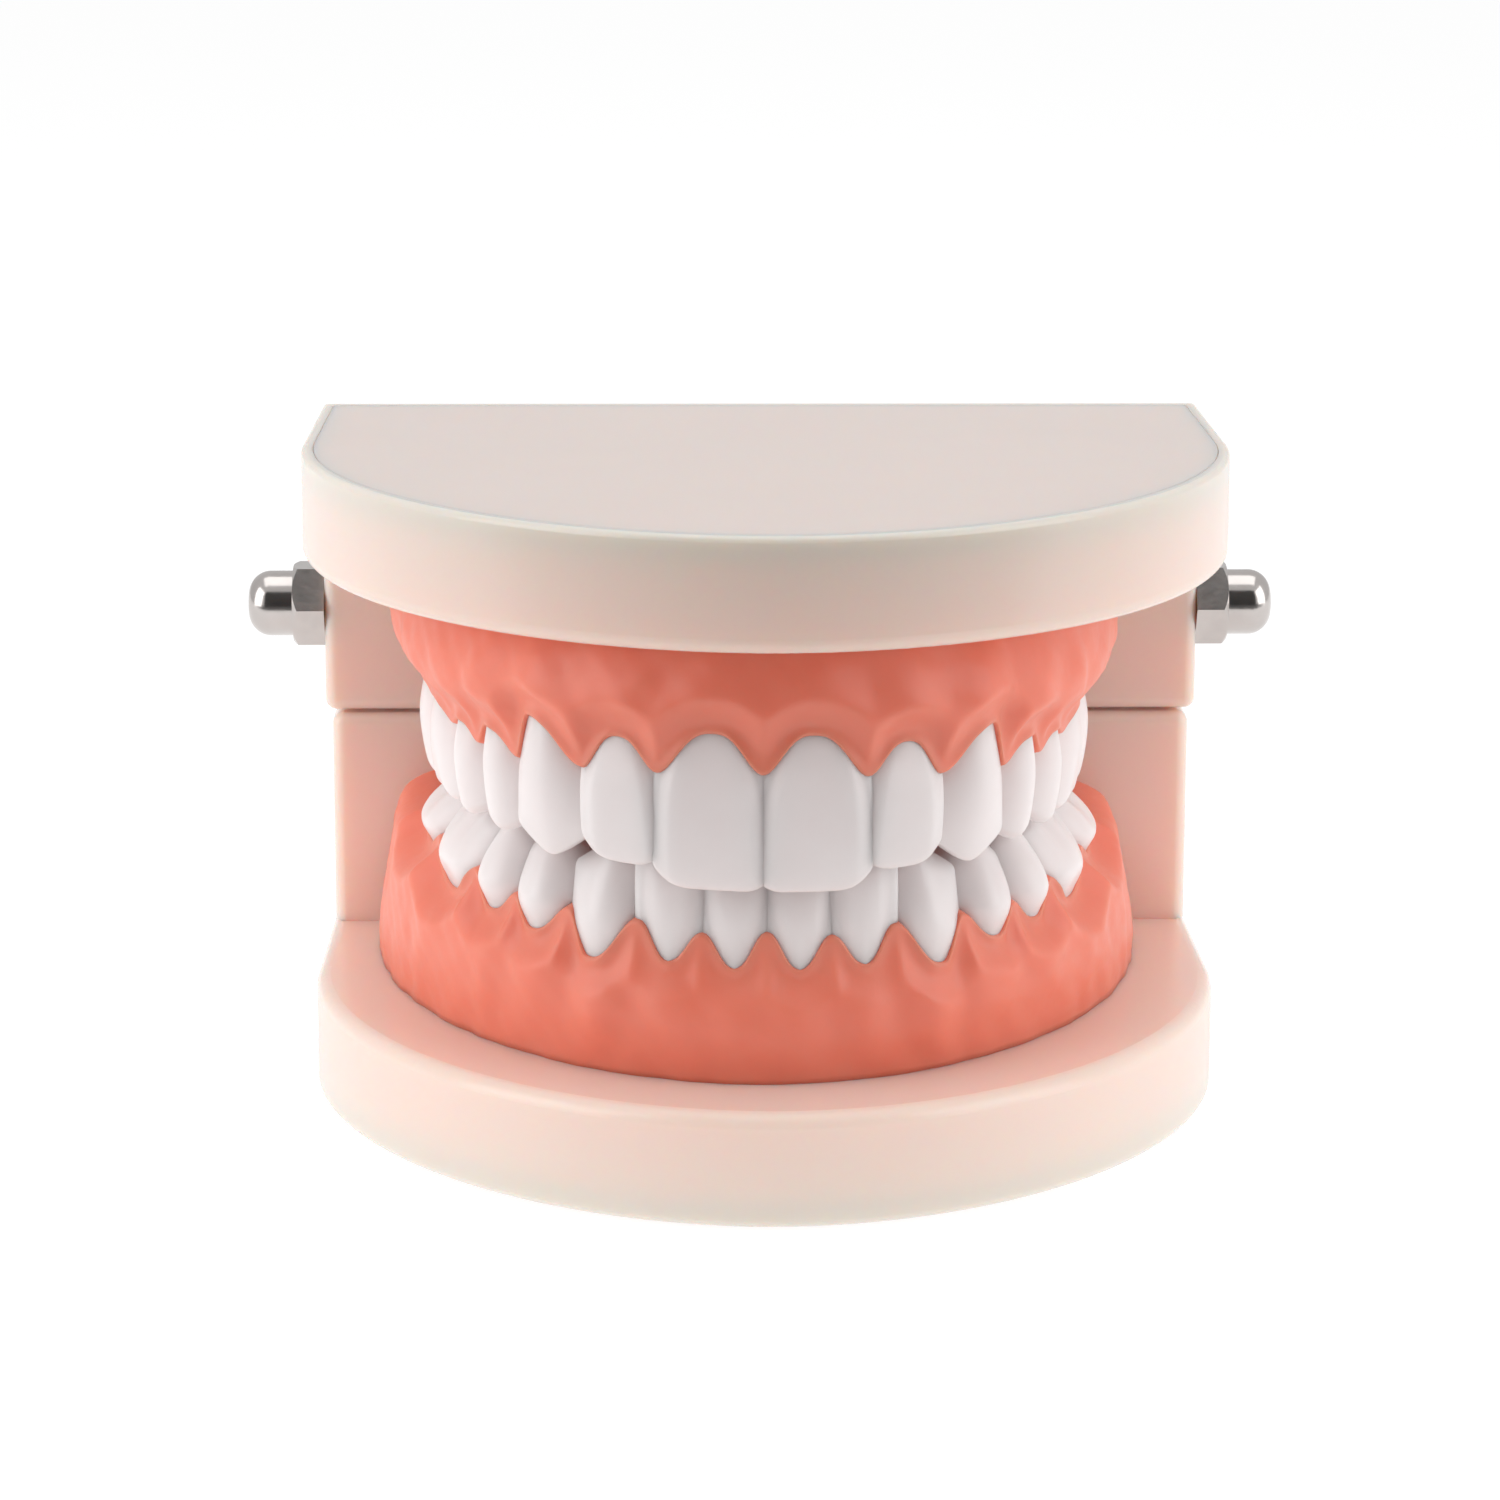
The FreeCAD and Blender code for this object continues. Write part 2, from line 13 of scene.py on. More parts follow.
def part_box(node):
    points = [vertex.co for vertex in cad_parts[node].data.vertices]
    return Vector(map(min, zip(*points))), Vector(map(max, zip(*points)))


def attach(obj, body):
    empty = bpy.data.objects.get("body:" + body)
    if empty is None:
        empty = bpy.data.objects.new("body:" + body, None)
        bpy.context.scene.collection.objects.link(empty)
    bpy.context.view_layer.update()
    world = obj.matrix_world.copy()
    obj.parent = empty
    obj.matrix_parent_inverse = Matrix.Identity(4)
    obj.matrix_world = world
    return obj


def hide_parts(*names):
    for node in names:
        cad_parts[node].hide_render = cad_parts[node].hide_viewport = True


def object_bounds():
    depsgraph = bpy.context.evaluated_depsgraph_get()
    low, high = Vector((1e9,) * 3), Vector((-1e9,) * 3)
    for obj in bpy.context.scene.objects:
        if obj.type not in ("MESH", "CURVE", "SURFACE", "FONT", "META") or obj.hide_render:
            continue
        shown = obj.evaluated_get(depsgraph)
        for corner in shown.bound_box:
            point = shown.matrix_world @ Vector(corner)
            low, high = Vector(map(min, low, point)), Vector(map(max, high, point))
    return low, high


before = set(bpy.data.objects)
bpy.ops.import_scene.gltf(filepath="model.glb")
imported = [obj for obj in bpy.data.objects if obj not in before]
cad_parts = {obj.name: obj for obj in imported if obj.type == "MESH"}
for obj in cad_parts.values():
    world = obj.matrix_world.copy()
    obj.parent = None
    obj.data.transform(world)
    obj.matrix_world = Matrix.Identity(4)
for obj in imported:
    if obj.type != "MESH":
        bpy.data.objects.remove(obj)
cad_low, cad_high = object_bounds()

MM = 0.001
UPPER_BODY, LOWER_BODY = "upper_jaw", "lower_jaw"

# ---- dental arches, as in the CAD design ----
ARCH_ROLL = math.tan(math.radians(1.1))
ARCH_REAR_Y = 20.0
GUM_REAR_Y = 25.6
LOWER_GUM_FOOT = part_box("lower_gum")[0].z / MM
UPPER_GUM_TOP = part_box("upper_gum")[1].z / MM

KINDS = ("central_incisor", "lateral_incisor", "canine", "first_premolar", "second_premolar",
         "first_molar", "second_molar")

# Each jaw: which way its crowns point, its shift along X, and its arch's half width, front and exponent; then
# per tooth the width along the arch, the gum line, the tip and the thickness front to back.
UPPER = {
    "name": "upper", "crown": -1, "shift": -0.95, "half_width": 29.5, "front_y": -28.0, "power": 2.3,
    "teeth": {
        "central_incisor": (8.75, 38.75, 25.9, 6.6),
        "lateral_incisor": (6.9, 37.85, 27.5, 5.9),
        "canine": (7.9, 38.3, 26.9, 7.6),
        "first_premolar": (7.1, 36.1, 27.35, 9.0),
        "second_premolar": (6.7, 35.4, 27.3, 9.0),
        "first_molar": (9.9, 35.6, 27.2, 10.8),
        "second_molar": (9.2, 35.4, 27.2, 10.4),
    },
    # gum height between each tooth and the next towards the rear, after the one in the middle
    "papillae": (35.5, 35.3, 34.9, 34.4, 34.2, 34.5, 34.8, 35.2),
    # where along each tooth its gum edge is farthest from the tip, and how blunt the papillae are
    "zeniths": (0.47, 0.54, 0.76, 0.68, 0.58, 0.6, 0.5),
    "scallop": (0.76, 0.78, 0.85, 0.85, 0.85, 0.8, 0.8),
}
LOWER = {
    "name": "lower", "crown": 1, "shift": -0.55, "half_width": 29.8, "front_y": -25.5, "power": 2.38,
    "teeth": {
        "central_incisor": (5.35, 18.95, 28.2, 5.6),
        "lateral_incisor": (5.4, 19.3, 28.2, 5.8),
        "canine": (6.7, 18.8, 28.3, 7.0),
        "first_premolar": (6.8, 20.0, 27.75, 7.4),
        "second_premolar": (6.8, 20.4, 27.7, 8.0),
        "first_molar": (11.2, 20.2, 27.6, 10.2),
        "second_molar": (10.0, 21.8, 27.5, 9.8),
    },
    "papillae": (21.9, 21.7, 22.4, 22.5, 22.4, 23.1, 23.3, 23.6),
    "zeniths": (0.5, 0.52, 0.68, 0.66, 0.55, 0.5, 0.5),
    "scallop": (0.92, 0.92, 0.88, 0.85, 0.85, 0.8, 0.8),
}


# ---------------------------------------------------------------- small helpers

def smooth(low, high, x):
    """0 below low, 1 above high, with a smooth change between."""
    k = np.clip((np.asarray(x, float) - low) / (high - low), 0.0, 1.0)
    return k * k * (3 - 2 * k)


def curve(points, x):
    """A smooth curve through (position, value) pairs, level beyond both ends."""
    px = np.array([p[0] for p in points], float)
    py = np.array([p[1] for p in points], float)
    slope = np.gradient(py, px)
    x = np.clip(np.asarray(x, float), px[0], px[-1])
    i = np.clip(np.searchsorted(px, x, side="right") - 1, 0, len(px) - 2)
    h = px[i + 1] - px[i]
    k = (x - px[i]) / h
    return ((2 * k**3 - 3 * k**2 + 1) * py[i] + (k**3 - 2 * k**2 + k) * h * slope[i]
            + (3 * k**2 - 2 * k**3) * py[i + 1] + (k**3 - k**2) * h * slope[i + 1])


def signed_power(x, p):
    return np.sign(x) * np.abs(x) ** p


def make_mesh(name, points, faces, material, body):
    """A mesh object from points in millimetres, riding on a CAD body."""
    mesh = bpy.data.meshes.new(name)
    mesh.from_pydata((np.asarray(points) * MM).tolist(), [], faces)
    mesh.validate()
    mesh.polygons.foreach_set("use_smooth", [True] * len(mesh.polygons))
    mesh.materials.append(material)
    piece = bpy.data.objects.new(name, mesh)
    bpy.context.collection.objects.link(piece)
    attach(piece, body)
    return piece


# ---------------------------------------------------------------- arches

class Arch:
    """The line of the crowns' outer faces on the +X side, from the midline to the rear, by its length."""

    def __init__(self, jaw, steps=1600):
        angle = np.linspace(0, math.pi / 2, steps)
        x = jaw["half_width"] * np.sin(angle) ** (2 / jaw["power"])
        y = ARCH_REAR_Y - (ARCH_REAR_Y - jaw["front_y"]) * np.cos(angle) ** (2 / jaw["power"])
        x = np.append(x, jaw["half_width"])
        y = np.append(y, GUM_REAR_Y)
        self.points = np.column_stack([x, y])
        self.length = np.append(0, np.cumsum(np.hypot(np.diff(x), np.diff(y))))
        self.end = self.length[-1]

    def at(self, length):
        """Places on the arch for lengths of either sign; a negative length is on the -X side."""
        s = np.abs(np.asarray(length, float))
        x = np.interp(s, self.length, self.points[:, 0])
        y = np.interp(s, self.length, self.points[:, 1])
        return np.where(np.asarray(length) < 0, -x, x), y

    def frame(self, length):
        """Place and outward normal at each length."""
        step = 0.25
        s = np.abs(np.asarray(length, float))
        x0, y0 = self.at(np.clip(s - step, 0, self.end))
        x1, y1 = self.at(np.clip(s + step, 0, self.end))
        x0 = np.where(s < step, -self.at(step - s)[0], x0)
        tx, ty = x1 - x0, y1 - y0
        size = np.hypot(tx, ty)
        x, y = self.at(length)
        side = np.where(np.asarray(length) < 0, -1.0, 1.0)
        return x, y, ty / size * side, -tx / size


def tilt(jaw, points, share=1.0):
    """Moves an arch to its place on the plates: a small shift, and a share of a small roll."""
    points = np.array(points, float)
    points[:, 2] -= points[:, 0] * ARCH_ROLL * share
    points[:, 0] += jaw["shift"]
    return points


# ---------------------------------------------------------------- teeth

# Per kind: overlap, width over the tooth's share of the arch; neck, width share at the gum line; contact,
# level where the tooth is widest; front, set-back of the outer face in mm by level; back, depth share by
# level; outer and inner, exponents of the two halves of a cross-section; middle, depth share of the widest
# place; rim, where the biting edge starts to round and how far; lean and turn in degrees. Incisors also have
# corner, radii of the biting edge's corners, and raised, face and bevel: height of the front face over the
# web that joins the teeth, its width share by level and the width of its slope. Levels run from 0 at the gum
# line to 1 at the tip.
UPPER_PREMOLAR_BACK = ((-0.5, 0.8), (0, 0.96), (0.5, 1.0), (1, 0.93))
MOLAR_BACK = ((-0.5, 0.82), (0, 0.97), (0.5, 1.0), (1, 0.93))
UPPER_MOLAR_FRONT = ((-0.5, 1.4), (0, 0.4), (0.35, 0.0), (0.65, 0.15), (1, 0.7))
LOWER_INCISOR = dict(
    overlap=1.17, neck=0.94, contact=0.62,
    front=((-0.5, 1.0), (0, 0.15), (0.3, 0.0), (0.65, 0.3), (1, 1.0)),
    back=((-0.5, 0.8), (0, 1.0), (0.3, 0.92), (0.6, 0.66), (1, 0.40)),
    outer=5.0, inner=2.1, middle=0.36, rim=(0.93, 0.20), turn=0.0,
    raised=0.6, face=((0, 0.50), (0.15, 0.62), (0.4, 0.82), (0.65, 0.93), (1, 1.0)), bevel=1.5)
LOWER_PREMOLAR = dict(
    overlap=1.06, neck=0.8, contact=0.55,
    front=((-0.5, 1.5), (0, 0.6), (0.38, -0.3), (0.52, 0.1), (1, 2.9)),
    back=((-0.5, 0.8), (0, 0.96), (0.5, 1.0), (1, 0.92)),
    inner=2.0, middle=0.48, rim=(0.88, 0.24))
LOWER_MOLAR = dict(
    overlap=1.04, neck=0.88, contact=0.55,
    front=((-0.5, 1.4), (0, 0.6), (0.38, -0.2), (0.52, 0.2), (1, 3.0)),
    back=MOLAR_BACK, outer=2.7, inner=2.6, middle=0.50, rim=(0.86, 0.20), lean=0.0, turn=0.0)
SHAPES = {
    "upper_central_incisor": dict(
        overlap=1.085, neck=0.92, contact=0.62,
        front=((-0.5, 1.6), (0, 0.55), (0.3, 0.0), (0.65, 0.0), (1, 0.55)),
        back=((-0.5, 0.8), (0, 1.0), (0.25, 0.86), (0.5, 0.62), (0.75, 0.42), (1, 0.27)),
        outer=6.0, inner=2.2, middle=0.36, rim=(0.93, 0.22), lean=1.0, turn=0.0, corner=(2.3, 3.4),
        raised=0.5, face=((0, 0.62), (0.15, 0.75), (0.3, 0.88), (0.45, 0.95), (0.67, 0.99), (1, 1.0)),
        bevel=1.1),
    "upper_lateral_incisor": dict(
        overlap=1.1, neck=0.92, contact=0.6,
        front=((-0.5, 1.8), (0, 0.7), (0.3, 0.05), (0.65, 0.0), (1, 0.6)),
        back=((-0.5, 0.8), (0, 1.0), (0.25, 0.86), (0.5, 0.62), (0.75, 0.42), (1, 0.28)),
        outer=5.0, inner=2.2, middle=0.38, rim=(0.92, 0.24), lean=2.0, turn=0.0, corner=(2.9, 3.5),
        raised=0.5, face=((0, 0.58), (0.15, 0.73), (0.3, 0.87), (0.5, 0.96), (0.75, 0.99), (1, 1.0)),
        bevel=1.1),
    "upper_canine": dict(
        overlap=1.05, neck=0.8, contact=0.55,
        front=((-0.5, 1.2), (0, 0.1), (0.3, -0.35), (0.6, -0.2), (1, 0.9)),
        back=((-0.5, 0.8), (0, 1.0), (0.25, 0.92), (0.5, 0.74), (0.75, 0.52), (1, 0.30)),
        outer=1.75, inner=2.1, middle=0.50, rim=(0.90, 0.30), lean=3.0, turn=-9.0),
    "upper_first_premolar": dict(
        overlap=1.05, neck=0.82, contact=0.6,
        front=((-0.5, 1.6), (0, 0.35), (0.35, 0.0), (0.65, 0.2), (1, 0.75)),
        back=UPPER_PREMOLAR_BACK, outer=1.9, inner=2.0, middle=0.50, rim=(0.88, 0.24), lean=1.0, turn=-10.0),
    "upper_second_premolar": dict(
        overlap=1.05, neck=0.82, contact=0.6,
        front=((-0.5, 1.6), (0, 0.4), (0.35, 0.0), (0.65, 0.2), (1, 0.75)),
        back=UPPER_PREMOLAR_BACK, outer=2.0, inner=2.0, middle=0.50, rim=(0.88, 0.24), lean=0.0, turn=-6.0),
    "upper_first_molar": dict(
        overlap=1.04, neck=0.88, contact=0.6, front=UPPER_MOLAR_FRONT, back=MOLAR_BACK,
        outer=2.7, inner=2.4, middle=0.50, rim=(0.86, 0.20), lean=0.0, turn=0.0),
    "upper_second_molar": dict(
        overlap=1.04, neck=0.86, contact=0.6, front=UPPER_MOLAR_FRONT, back=MOLAR_BACK,
        outer=2.6, inner=2.3, middle=0.50, rim=(0.86, 0.20), lean=0.0, turn=0.0),
    "lower_central_incisor": dict(LOWER_INCISOR, lean=0.0, corner=(0.7, 0.8)),
    "lower_lateral_incisor": dict(LOWER_INCISOR, lean=1.0, corner=(0.7, 1.0)),
    "lower_canine": dict(
        overlap=1.08, neck=0.8, contact=0.55,
        front=((-0.5, 1.2), (0, 0.25), (0.38, -0.35), (0.55, 0.1), (1, 2.3)),
        back=((-0.5, 0.8), (0, 1.0), (0.3, 0.98), (0.6, 0.84), (1, 0.58)),
        outer=1.8, inner=2.1, middle=0.48, rim=(0.90, 0.28), lean=2.0, turn=-5.0),
    "lower_first_premolar": dict(LOWER_PREMOLAR, outer=1.8, lean=1.0, turn=-10.0),
    "lower_second_premolar": dict(LOWER_PREMOLAR, outer=1.9, lean=0.0, turn=-6.0),
    "lower_first_molar": LOWER_MOLAR,
    "lower_second_molar": LOWER_MOLAR,
}

# Cusps as (place along the tooth, place from front to back, drop below the tip), places as shares of the
# half width and of the thickness; the slopes fall away from each cusp.
CUSPS = {
    "upper_canine": ((0.08, 0.2, 0.0),),
    "lower_canine": ((-0.08, 0.34, 0.0),),
    "upper_first_premolar": ((0.0, 0.14, 0.0), (-0.05, 0.78, 0.7)),
    "upper_second_premolar": ((0.0, 0.14, 0.0), (-0.05, 0.78, 0.5)),
    "lower_first_premolar": ((0.0, 0.46, 0.0), (0.0, 0.88, 1.7)),
    "lower_second_premolar": ((0.0, 0.42, 0.0), (-0.35, 0.84, 0.7), (0.4, 0.84, 0.9)),
    "upper_first_molar": ((-0.48, 0.12, 0.0), (0.48, 0.12, 0.1), (-0.45, 0.8, 0.4), (0.5, 0.8, 0.6)),
    "upper_second_molar": ((-0.48, 0.12, 0.0), (0.48, 0.12, 0.2), (-0.4, 0.8, 0.4), (0.5, 0.78, 0.8)),
    "lower_first_molar": ((-0.56, 0.36, 0.0), (0.02, 0.36, 0.1), (0.6, 0.38, 0.35), (-0.5, 0.82, 0.5),
                          (0.45, 0.82, 0.6)),
    "lower_second_molar": ((-0.5, 0.36, 0.0), (0.45, 0.36, 0.15), (-0.5, 0.82, 0.5), (0.45, 0.82, 0.6)),
}
CUSP_SLOPE = {"canine": (0.72, 0.5), "premolar": (0.62, 0.55), "molar": (0.55, 0.55)}
CUSP_ROUND = 0.55            # radius-like softness of a cusp, mm
GROOVE_SHARPNESS = 7.0       # of the fissures between cusps
CORNER_POWER = 2.4           # exponent of an incisor's corner outline
EDGE_DROP = 0.10             # of an incisor's biting edge at its rearward corner


def drop_at(name, kind, u, v, half, thickness):
    """How far the biting surface lies below the tip at (u, v), in mm."""
    if "incisor" in kind:
        corner = SHAPES[name]["corner"]
        radius = np.where(u < 0, corner[0], corner[1])
        x = np.clip((np.abs(u) - (half - radius)) / radius, 0, 1)
        rounding = 1 - (1 - x**CORNER_POWER) ** (1 / CORNER_POWER)
        return radius * rounding + EDGE_DROP * np.maximum(u, 0) / half
    family = "canine" if kind == "canine" else kind.split("_")[1]
    along, across = CUSP_SLOPE[family]
    heights = []
    for cu, cv, below in CUSPS[name]:
        du, dv = (u - cu * half) * along, (v - cv * thickness) * across
        distance = np.sqrt(du**2 + dv**2 + CUSP_ROUND**2)
        heights.append(-below - distance + CUSP_ROUND)
    heights = np.array(heights)
    return -np.log(np.exp(GROOVE_SHARPNESS * heights).sum(0)) / GROOVE_SHARPNESS


RING = 96                    # points round a tooth
RAISED_FADE = ((0, 1.0), (0.6, 0.95), (1, 0.5))    # share of the raised face's height, by level
WALL_LEVELS = (-0.5, -0.25, -0.1, 0, 0.08, 0.16, 0.24, 0.31, 0.36, 0.4, 0.44, 0.5, 0.57, 0.65, 0.73, 0.8,
               0.86)
LAST_WALL_GAP = 0.02         # between the last of these and the start of the rounded rim
RIM_NARROWING = 0.45         # share of a ring's shrinkage that its width takes
RIM_STEPS = 6
TABLE_STEPS = 8
ROOT_LENGTH = 10.0           # level -1 of a tooth lies this far into the gum


def cross_section(shape, width, thickness, level, scale):
    """One ring (along, inwards) round a tooth at a level, shrunk towards its middle by a scale."""
    angle = np.linspace(0, 2 * math.pi, RING, endpoint=False)
    c, s = np.cos(angle), np.sin(angle)
    power = np.where(s >= 0, shape["outer"], shape["inner"])
    share = shape["neck"] + (1 - shape["neck"]) * smooth(-0.15, shape["contact"], level)
    lift = shape.get("raised", 0.0) * float(curve(RAISED_FADE, level))
    front = float(curve(shape["front"], level)) + lift
    back = thickness * float(curve(shape["back"], level))
    middle = front + (back - front) * shape["middle"]
    u = width / 2 * shape["overlap"] * share * signed_power(c, 2 / power)
    v = middle - np.where(s >= 0, middle - front, back - middle) * signed_power(s, 2 / power)
    if lift:
        edge = width / 2 * float(curve(shape["face"], level))
        v = v - lift * smooth(edge + 0.1, edge - shape["bevel"], np.abs(u)) * (s > 0)
    centre = front + (back - front) * 0.5
    return u * (1 - (1 - scale) * RIM_NARROWING), centre + (v - centre) * scale


def ring_faces(count):
    """Faces between the rings of a tooth, and the fans that close it at its top and its root."""
    faces = []
    for k in range(count - 1):
        a, b = k * RING, (k + 1) * RING
        for j in range(RING):
            n = (j + 1) % RING
            faces.append((a + j, b + j, b + n, a + n))
    last, top, root = (count - 1) * RING, count * RING, count * RING + 1
    for j in range(RING):
        n = (j + 1) % RING
        faces.append((last + j, top, last + n))
        faces.append((j, n, root))
    return faces


def tooth_surface(jaw, kind):
    """Points (along, inwards, height) and faces of a tooth of the +X side, in its own place."""
    name = f"{jaw['name']}_{kind}"
    shape = SHAPES[name]
    width, gum_line, tip, thickness = jaw["teeth"][kind]
    height = abs(tip - gum_line)
    rim_level, rim_share = shape["rim"]

    def drop(u, v):
        return drop_at(name, kind, u, v, width / 2 * shape["overlap"], thickness)

    top_u, top_v = cross_section(shape, width, thickness, 1.0, 1 - rim_share)
    rim_drop = drop(top_u, top_v)
    steps = [(level, 1.0) for level in WALL_LEVELS if level < rim_level - LAST_WALL_GAP]
    for k in range(RIM_STEPS + 1):
        phi = math.pi / 2 * k / RIM_STEPS
        steps.append((rim_level + (1 - rim_level) * math.sin(phi), 1 - rim_share * (1 - math.cos(phi))))
    rows = []
    for level, scale in steps:
        u, v = cross_section(shape, width, thickness, level, scale)
        z = np.full(RING, level * ROOT_LENGTH) if level < 0 else level * (height - rim_drop)
        rows.append((u, v, z))
    centre_v = (top_v.max() + top_v.min()) / 2
    for k in range(1, TABLE_STEPS):
        share = 1 - k / TABLE_STEPS
        u, v = top_u * share, centre_v + (top_v - centre_v) * share
        rows.append((u, v, height - drop(u, v)))
    top = (0.0, centre_v, height - drop(np.zeros(1), np.full(1, centre_v))[0])
    root = (0.0, rows[0][1].mean(), rows[0][2][0])
    u, v, z = (np.concatenate([row[i] for row in rows] + [[top[i]], [root[i]]]) for i in range(3))
    u = u - (z - height * 0.5) * math.tan(math.radians(shape["lean"]))
    return u, v, gum_line + jaw["crown"] * z, ring_faces(len(rows))


def place_teeth(jaw, arch):
    """World points and faces of every tooth of a jaw before its shift and roll, by node name."""
    made = {}
    start = 0.0
    for kind in KINDS:
        width = jaw["teeth"][kind][0]
        u, v, z, faces = tooth_surface(jaw, kind)
        x, y, nx, ny = arch.frame(start + width / 2)
        turn = math.radians(SHAPES[f"{jaw['name']}_{kind}"]["turn"])
        nx, ny = nx * math.cos(turn) - ny * math.sin(turn), nx * math.sin(turn) + ny * math.cos(turn)
        px = x - ny * u - nx * v
        py = y + nx * u - ny * v
        for side, sign in (("left", 1), ("right", -1)):
            flip = (sign > 0) != (jaw["crown"] > 0)
            ordered = [f[::-1] for f in faces] if flip else faces
            made[f"{jaw['name']}_{side}_{kind}"] = (np.column_stack([px * sign, py, z]), ordered)
        start += width
    return made


# ---------------------------------------------------------------- gums

COLUMNS = 420
FACE_ROWS = 30
CREST_ROWS = 6
BACK_ROWS = 26
RIM_THICKNESS = 0.34         # of the free edge of the gum on a crown
RIM_REACH = 0.45
VALLEY_DEPTH = 0.34          # of the gum between the teeth, below their outer faces
VALLEY_BRIDGE = 2.2          # how far along the arch the teeth's outer faces are carried over the valleys
OUTER_FLOOR = -2.2           # deepest place of the gum's outer face where it follows the teeth
INNER_FLOOR = -6.0           # place of the inner face where it meets no tooth
INNER_LIMIT = -2.0           # nearest the inner face comes to the arch's line
RIDGE_OUTER, RIDGE_INNER = -3.6, -4.6    # the two sides of the crest behind the last tooth
RIDGE_OUTER_ROUND, RIDGE_INNER_ROUND = 2.6, 3.4
GUM_LINE_STEP = 0.9          # from the outer gum line to the inner one
END_DROP = 2.2               # of the crest at the rear end of the gum
CREST_SINK, REAR_SINK = 0.9, 0.12    # how far the crest lies inside the edge, by the teeth and behind them
CREST_DIVE = 0.25            # and how far below it, by the teeth
FURROW_DEPTH = 0.10          # between the roots
LUMP_HEIGHT = 0.16
LUMP_SCALE = 0.45
PALATE_ROW = 6               # the inner face turns into the palate here
PALATE_FRONT_Y = -9.0        # front end of the palate's midline
VAULT_HEIGHT = 42.4
VAULT_FALL = 2.6             # of the palate towards the incisors
RUGA_HEIGHT = 0.32           # of the folds of the palate

# (height, half width, front y, exponent) of the gum's outside, and of the hollow inside it
UPPER_OUTSIDE = ((46.6, 31.6, -27.6, 2.0), (43.5, 32.0, -28.5, 2.1), (40.0, 31.7, -28.9, 2.2),
                 (37.6, 30.8, -28.6, 2.25), (35.5, 30.0, -28.3, 2.25), (33.0, 29.5, -28.0, 2.25))
UPPER_INSIDE = ((46.6, 17.0, -14.0, 2.1), (40.0, 18.0, -15.5, 2.1), (36.0, 19.5, -17.6, 2.2),
                (33.0, 20.5, -18.8, 2.2))
LOWER_OUTSIDE = ((9.4, 33.7, -25.9, 1.9), (13.0, 33.6, -26.7, 1.95), (17.0, 32.9, -26.4, 2.1),
                 (20.3, 32.3, -25.9, 2.25), (23.0, 31.5, -25.5, 2.3), (25.5, 30.9, -25.2, 2.3))
LOWER_INSIDE = ((9.4, 14.5, -12.0, 1.9), (14.0, 15.2, -13.0, 2.0), (19.0, 17.2, -15.4, 2.1),
                (25.0, 19.8, -17.6, 2.1))
# foot of the outer and the inner face, rise behind the last tooth, height over which the roll fades in
GUMS = {
    "upper": {"foot": UPPER_GUM_TOP, "inner_foot": 43.6, "rear_rise": 1.6, "roll_fade": 5.0, "lump_seed": 2.0,
              "outside": UPPER_OUTSIDE, "inside": UPPER_INSIDE},
    "lower": {"foot": LOWER_GUM_FOOT, "inner_foot": LOWER_GUM_FOOT, "rear_rise": 0.9, "roll_fade": 6.0,
              "lump_seed": 5.0, "outside": LOWER_OUTSIDE, "inside": LOWER_INSIDE},
}
EMINENCE = {"central_incisor": 0.35, "lateral_incisor": 0.3, "canine": 0.65, "first_premolar": 0.4,
            "second_premolar": 0.3, "first_molar": 0.3, "second_molar": 0.2}


def outline_offset(levels, columns, z, direction):
    """How far along the arch's normal each point is from an outline that changes with height."""
    x, y, nx, ny = columns
    order = sorted(levels)
    half = curve([(q[0], q[1]) for q in order], z)
    front = curve([(q[0], q[2]) for q in order], z)
    power = curve([(q[0], q[3]) for q in order], z)
    low = np.full(z.shape, -3.0 if direction > 0 else 0.0)
    high = np.full(z.shape, 14.0 if direction > 0 else 26.0)
    for _ in range(26):
        mid = (low + high) / 2
        px, py = x + nx * mid * direction, y + ny * mid * direction
        depth = np.clip(ARCH_REAR_Y - py, 0, None) / (ARCH_REAR_Y - front)
        value = (np.abs(px) / half) ** power + depth ** power
        beyond = value > 1 if direction > 0 else value < 1
        high = np.where(beyond, mid, high)
        low = np.where(beyond, low, mid)
    return (low + high) / 2 * direction


def rounded_step(t):
    """From 0 to 1 as t does, flat at both ends and steep between them."""
    return t ** 3 * (10 - 15 * t + 6 * t * t)


def margin_heights(jaw, lengths, inner=False):
    """The scalloped edge of the gum along the arch, and the end of the last tooth."""
    s = np.abs(lengths)
    papillae = jaw["papillae"]
    result = np.full(s.shape, papillae[-1], float)
    start = 0.0
    for index, kind in enumerate(KINDS):
        width, gum_line = jaw["teeth"][kind][:2]
        zenith = start + width * jaw["zeniths"][index]
        if inner:
            gum_line = gum_line + jaw["crown"] * GUM_LINE_STEP
        end = start + width
        before = (s >= start) & (s < zenith)
        after = (s >= zenith) & (s < end)
        bend = jaw["scallop"][index]
        rise = rounded_step(np.clip((s - start) / (zenith - start), 0, 1) ** bend)
        fall = rounded_step(np.clip((end - s) / (end - zenith), 0, 1) ** bend)
        result = np.where(before, papillae[index] + (gum_line - papillae[index]) * rise, result)
        result = np.where(after, papillae[index + 1] + (gum_line - papillae[index + 1]) * fall, result)
        start = end
    return result, start


def cast_teeth(tree, columns, z, inwards):
    """Offset of the teeth's outer (or inner) face along the normal, NaN where a ray meets no tooth."""
    reach = 9.0 if inwards else -17.0
    offsets = np.full(z.size, np.nan)
    flat = [a.ravel() for a in np.broadcast_arrays(*columns, z)]
    for i, (px, py, ax, ay, h) in enumerate(zip(*flat)):
        origin = Vector((px + ax * reach, py + ay * reach, h))
        direction = Vector((-ax, -ay, 0)) if inwards else Vector((ax, ay, 0))
        hit = tree.ray_cast(origin, direction, 14.0)
        if hit[0] is not None:
            offsets[i] = reach - hit[3] if inwards else reach + hit[3]
    return offsets.reshape(z.shape)


